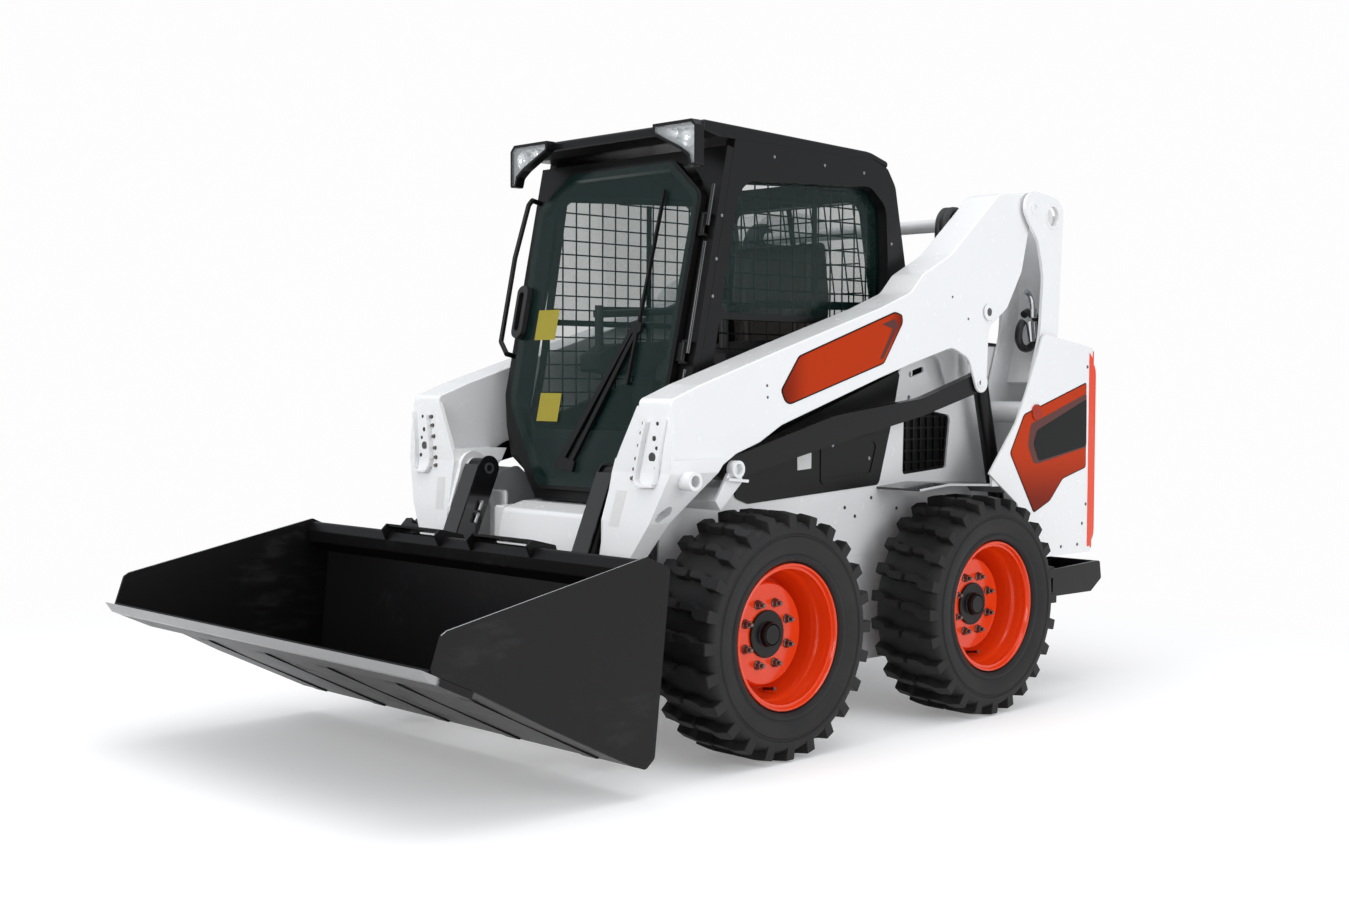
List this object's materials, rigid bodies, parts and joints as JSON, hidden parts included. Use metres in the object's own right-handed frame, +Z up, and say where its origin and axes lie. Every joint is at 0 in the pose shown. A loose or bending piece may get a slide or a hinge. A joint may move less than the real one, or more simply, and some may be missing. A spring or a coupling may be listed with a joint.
{
  "type": "skid steer loader",
  "caption": "Compact wheeled loader with an enclosed cab, lift arms on rear links, a tilting bucket on a quick coupler, rear door and engine cover.",
  "frame": {"origin": "on the floor, midway along the overall length and on the centre plane", "axes": "+Z up, -Y towards the bucket, +X towards the machine's left side"},
  "size_m": [1.727, 3.3743, 1.9985],
  "materials": {
    "white_paint": "gloss",
    "black_paint": "satin",
    "orange_paint": "gloss",
    "tyre": "matt",
    "glass": "tinted",
    "chrome": "polished",
    "seat_cover": "matt",
    "plastic": "matt",
    "bare_steel": "satin",
    "engine_iron": "matt"
  },
  "bodies": {
    "chassis": {"frame_tub": "white_paint", "front_panel": "white_paint", "side_frames": "white_paint", "rear_panels": "white_paint", "front_brackets": "white_paint", "frame_pins": "bare_steel", "side_covers": "plastic", "side_grilles": "black_paint", "rear_bulkhead": "black_paint", "engine_block": "engine_iron", "rear_bumper": "black_paint", "axle_tubes": "black_paint", "cab_sides": "black_paint", "cab_roof": "black_paint", "cab_rear": "black_paint", "cab_floor": "black_paint", "cab_front_frame": "black_paint", "cab_windows": "glass", "cab_screens": "black_paint", "headlights": "plastic", "grab_handle": "black_paint", "seat_base": "plastic", "seat_cushion": "seat_cover", "seat_back": "seat_cover", "consoles": "plastic"},
    "front_left_wheel": {"front_left_tyre": "tyre", "front_left_rim": "orange_paint"},
    "front_right_wheel": {"front_right_tyre": "tyre", "front_right_rim": "orange_paint"},
    "rear_left_wheel": {"rear_left_tyre": "tyre", "rear_left_rim": "orange_paint"},
    "rear_right_wheel": {"rear_right_tyre": "tyre", "rear_right_rim": "orange_paint"},
    "cab_door": {"door_frame": "black_paint", "door_glass": "glass", "door_handle": "plastic", "door_wiper": "black_paint"},
    "lap_bar": {"seat_bar": "black_paint"},
    "tailgate": {"rear_door": "orange_paint"},
    "hood": {"engine_cover": "black_paint"},
    "rear_link_pair": {"rear_links": "white_paint"},
    "arms": {"lift_arms": "white_paint", "tilt_pins": "bare_steel", "arm_cross_tube": "white_paint"},
    "control_link_pair": {"control_links": "black_paint"},
    "lift_barrel_pair": {"lift_barrels": "black_paint"},
    "lift_rod_pair": {"lift_rods": "chrome"},
    "tilt_barrel_pair": {"tilt_barrels": "black_paint"},
    "tilt_rod_pair": {"tilt_rods": "chrome"},
    "bucket_group": {"coupler": "black_paint", "bucket": "black_paint", "cutting_edge": "black_paint"}
  },
  "joints": [
    {"name": "front_left_roll", "type": "hinge", "parent": "chassis", "child": "front_left_wheel", "pos_m": [0.7, -0.2895, 0.385], "axis": [1, 0, 0], "continuous": true},
    {"name": "front_right_roll", "type": "hinge", "parent": "chassis", "child": "front_right_wheel", "pos_m": [-0.7, -0.2895, 0.385], "axis": [1, 0, 0], "continuous": true},
    {"name": "rear_left_roll", "type": "hinge", "parent": "chassis", "child": "rear_left_wheel", "pos_m": [0.7, 0.7775, 0.385], "axis": [1, 0, 0], "continuous": true},
    {"name": "rear_right_roll", "type": "hinge", "parent": "chassis", "child": "rear_right_wheel", "pos_m": [-0.7, 0.7775, 0.385], "axis": [1, 0, 0], "continuous": true},
    {"name": "door_swing", "type": "hinge", "parent": "chassis", "child": "cab_door", "pos_m": [0.428, -0.33453, 1.40062], "axis": [0, 0.206, 0.9786], "range_deg": [0, 75]},
    {"name": "lap_bar_lift", "type": "hinge", "parent": "chassis", "child": "lap_bar", "pos_m": [0, 0.6555, 1.44], "axis": [-1, 0, 0], "range_deg": [0, 45]},
    {"name": "rear_door_swing", "type": "hinge", "parent": "chassis", "child": "tailgate", "pos_m": [-0.664, 1.6165, 0.9], "axis": [0, 0, 1], "range_deg": [0, 100]},
    {"name": "engine_cover_lift", "type": "hinge", "parent": "chassis", "child": "hood", "pos_m": [0, 1.0205, 1.328], "axis": [1, 0, 0], "range_deg": [0, 60]},
    {"name": "arm_lift", "type": "hinge", "parent": "rear_link_pair", "child": "arms", "pos_m": [0, 1.2055, 1.817], "axis": [-1, 0, 0], "range_deg": [0, 51.57]},
    {"name": "rear_link_swing", "type": "hinge", "parent": "chassis", "child": "rear_link_pair", "pos_m": [0, 1.2105, 1.058], "axis": [-1, 0, 0], "range_deg": [0, 17.95]},
    {"name": "control_link_swing", "type": "hinge", "parent": "chassis", "child": "control_link_pair", "pos_m": [0, -0.3545, 0.896], "axis": [1, 0, 0], "range_deg": [0, 28.19]},
    {"name": "lift_barrel_swing", "type": "hinge", "parent": "chassis", "child": "lift_barrel_pair", "pos_m": [0, 1.1905, 0.6], "axis": [-1, 0, 0], "range_deg": [0, 5.55]},
    {"name": "lift_rod_slide", "type": "slide", "parent": "lift_barrel_pair", "child": "lift_rod_pair", "axis": [0, -0.25, 0.9682], "range_m": [0, 0.4219]},
    {"name": "bucket_tilt", "type": "hinge", "parent": "arms", "child": "bucket_group", "pos_m": [0, -0.7445, 0.15], "axis": [1, 0, 0], "range_deg": [0, 139.4]},
    {"name": "tilt_barrel_swing", "type": "hinge", "parent": "arms", "child": "tilt_barrel_pair", "pos_m": [0, -0.5745, 0.868], "axis": [1, 0, 0], "range_deg": [0, 6.33]},
    {"name": "tilt_rod_slide", "type": "slide", "parent": "tilt_barrel_pair", "child": "tilt_rod_pair", "axis": [0, -0.3881, -0.9216], "range_m": [0, 0.3865]}
  ],
  "couplings": [
    {"joint": "rear_link_swing", "follows": "arm_lift", "ratio": 0.347},
    {"joint": "control_link_swing", "follows": "arm_lift", "ratio": 0.5456},
    {"joint": "lift_barrel_swing", "follows": "arm_lift", "ratio": 0.10672},
    {"joint": "lift_rod_slide", "follows": "arm_lift", "m_per_rad": 0.46814},
    {"joint": "tilt_barrel_swing", "follows": "bucket_tilt", "ratio": 0.045089},
    {"joint": "tilt_rod_slide", "follows": "bucket_tilt", "m_per_rad": 0.15866},
    {"joint": "rear_left_roll", "follows": "front_left_roll", "ratio": 1},
    {"joint": "rear_right_roll", "follows": "front_right_roll", "ratio": 1}
  ]
}
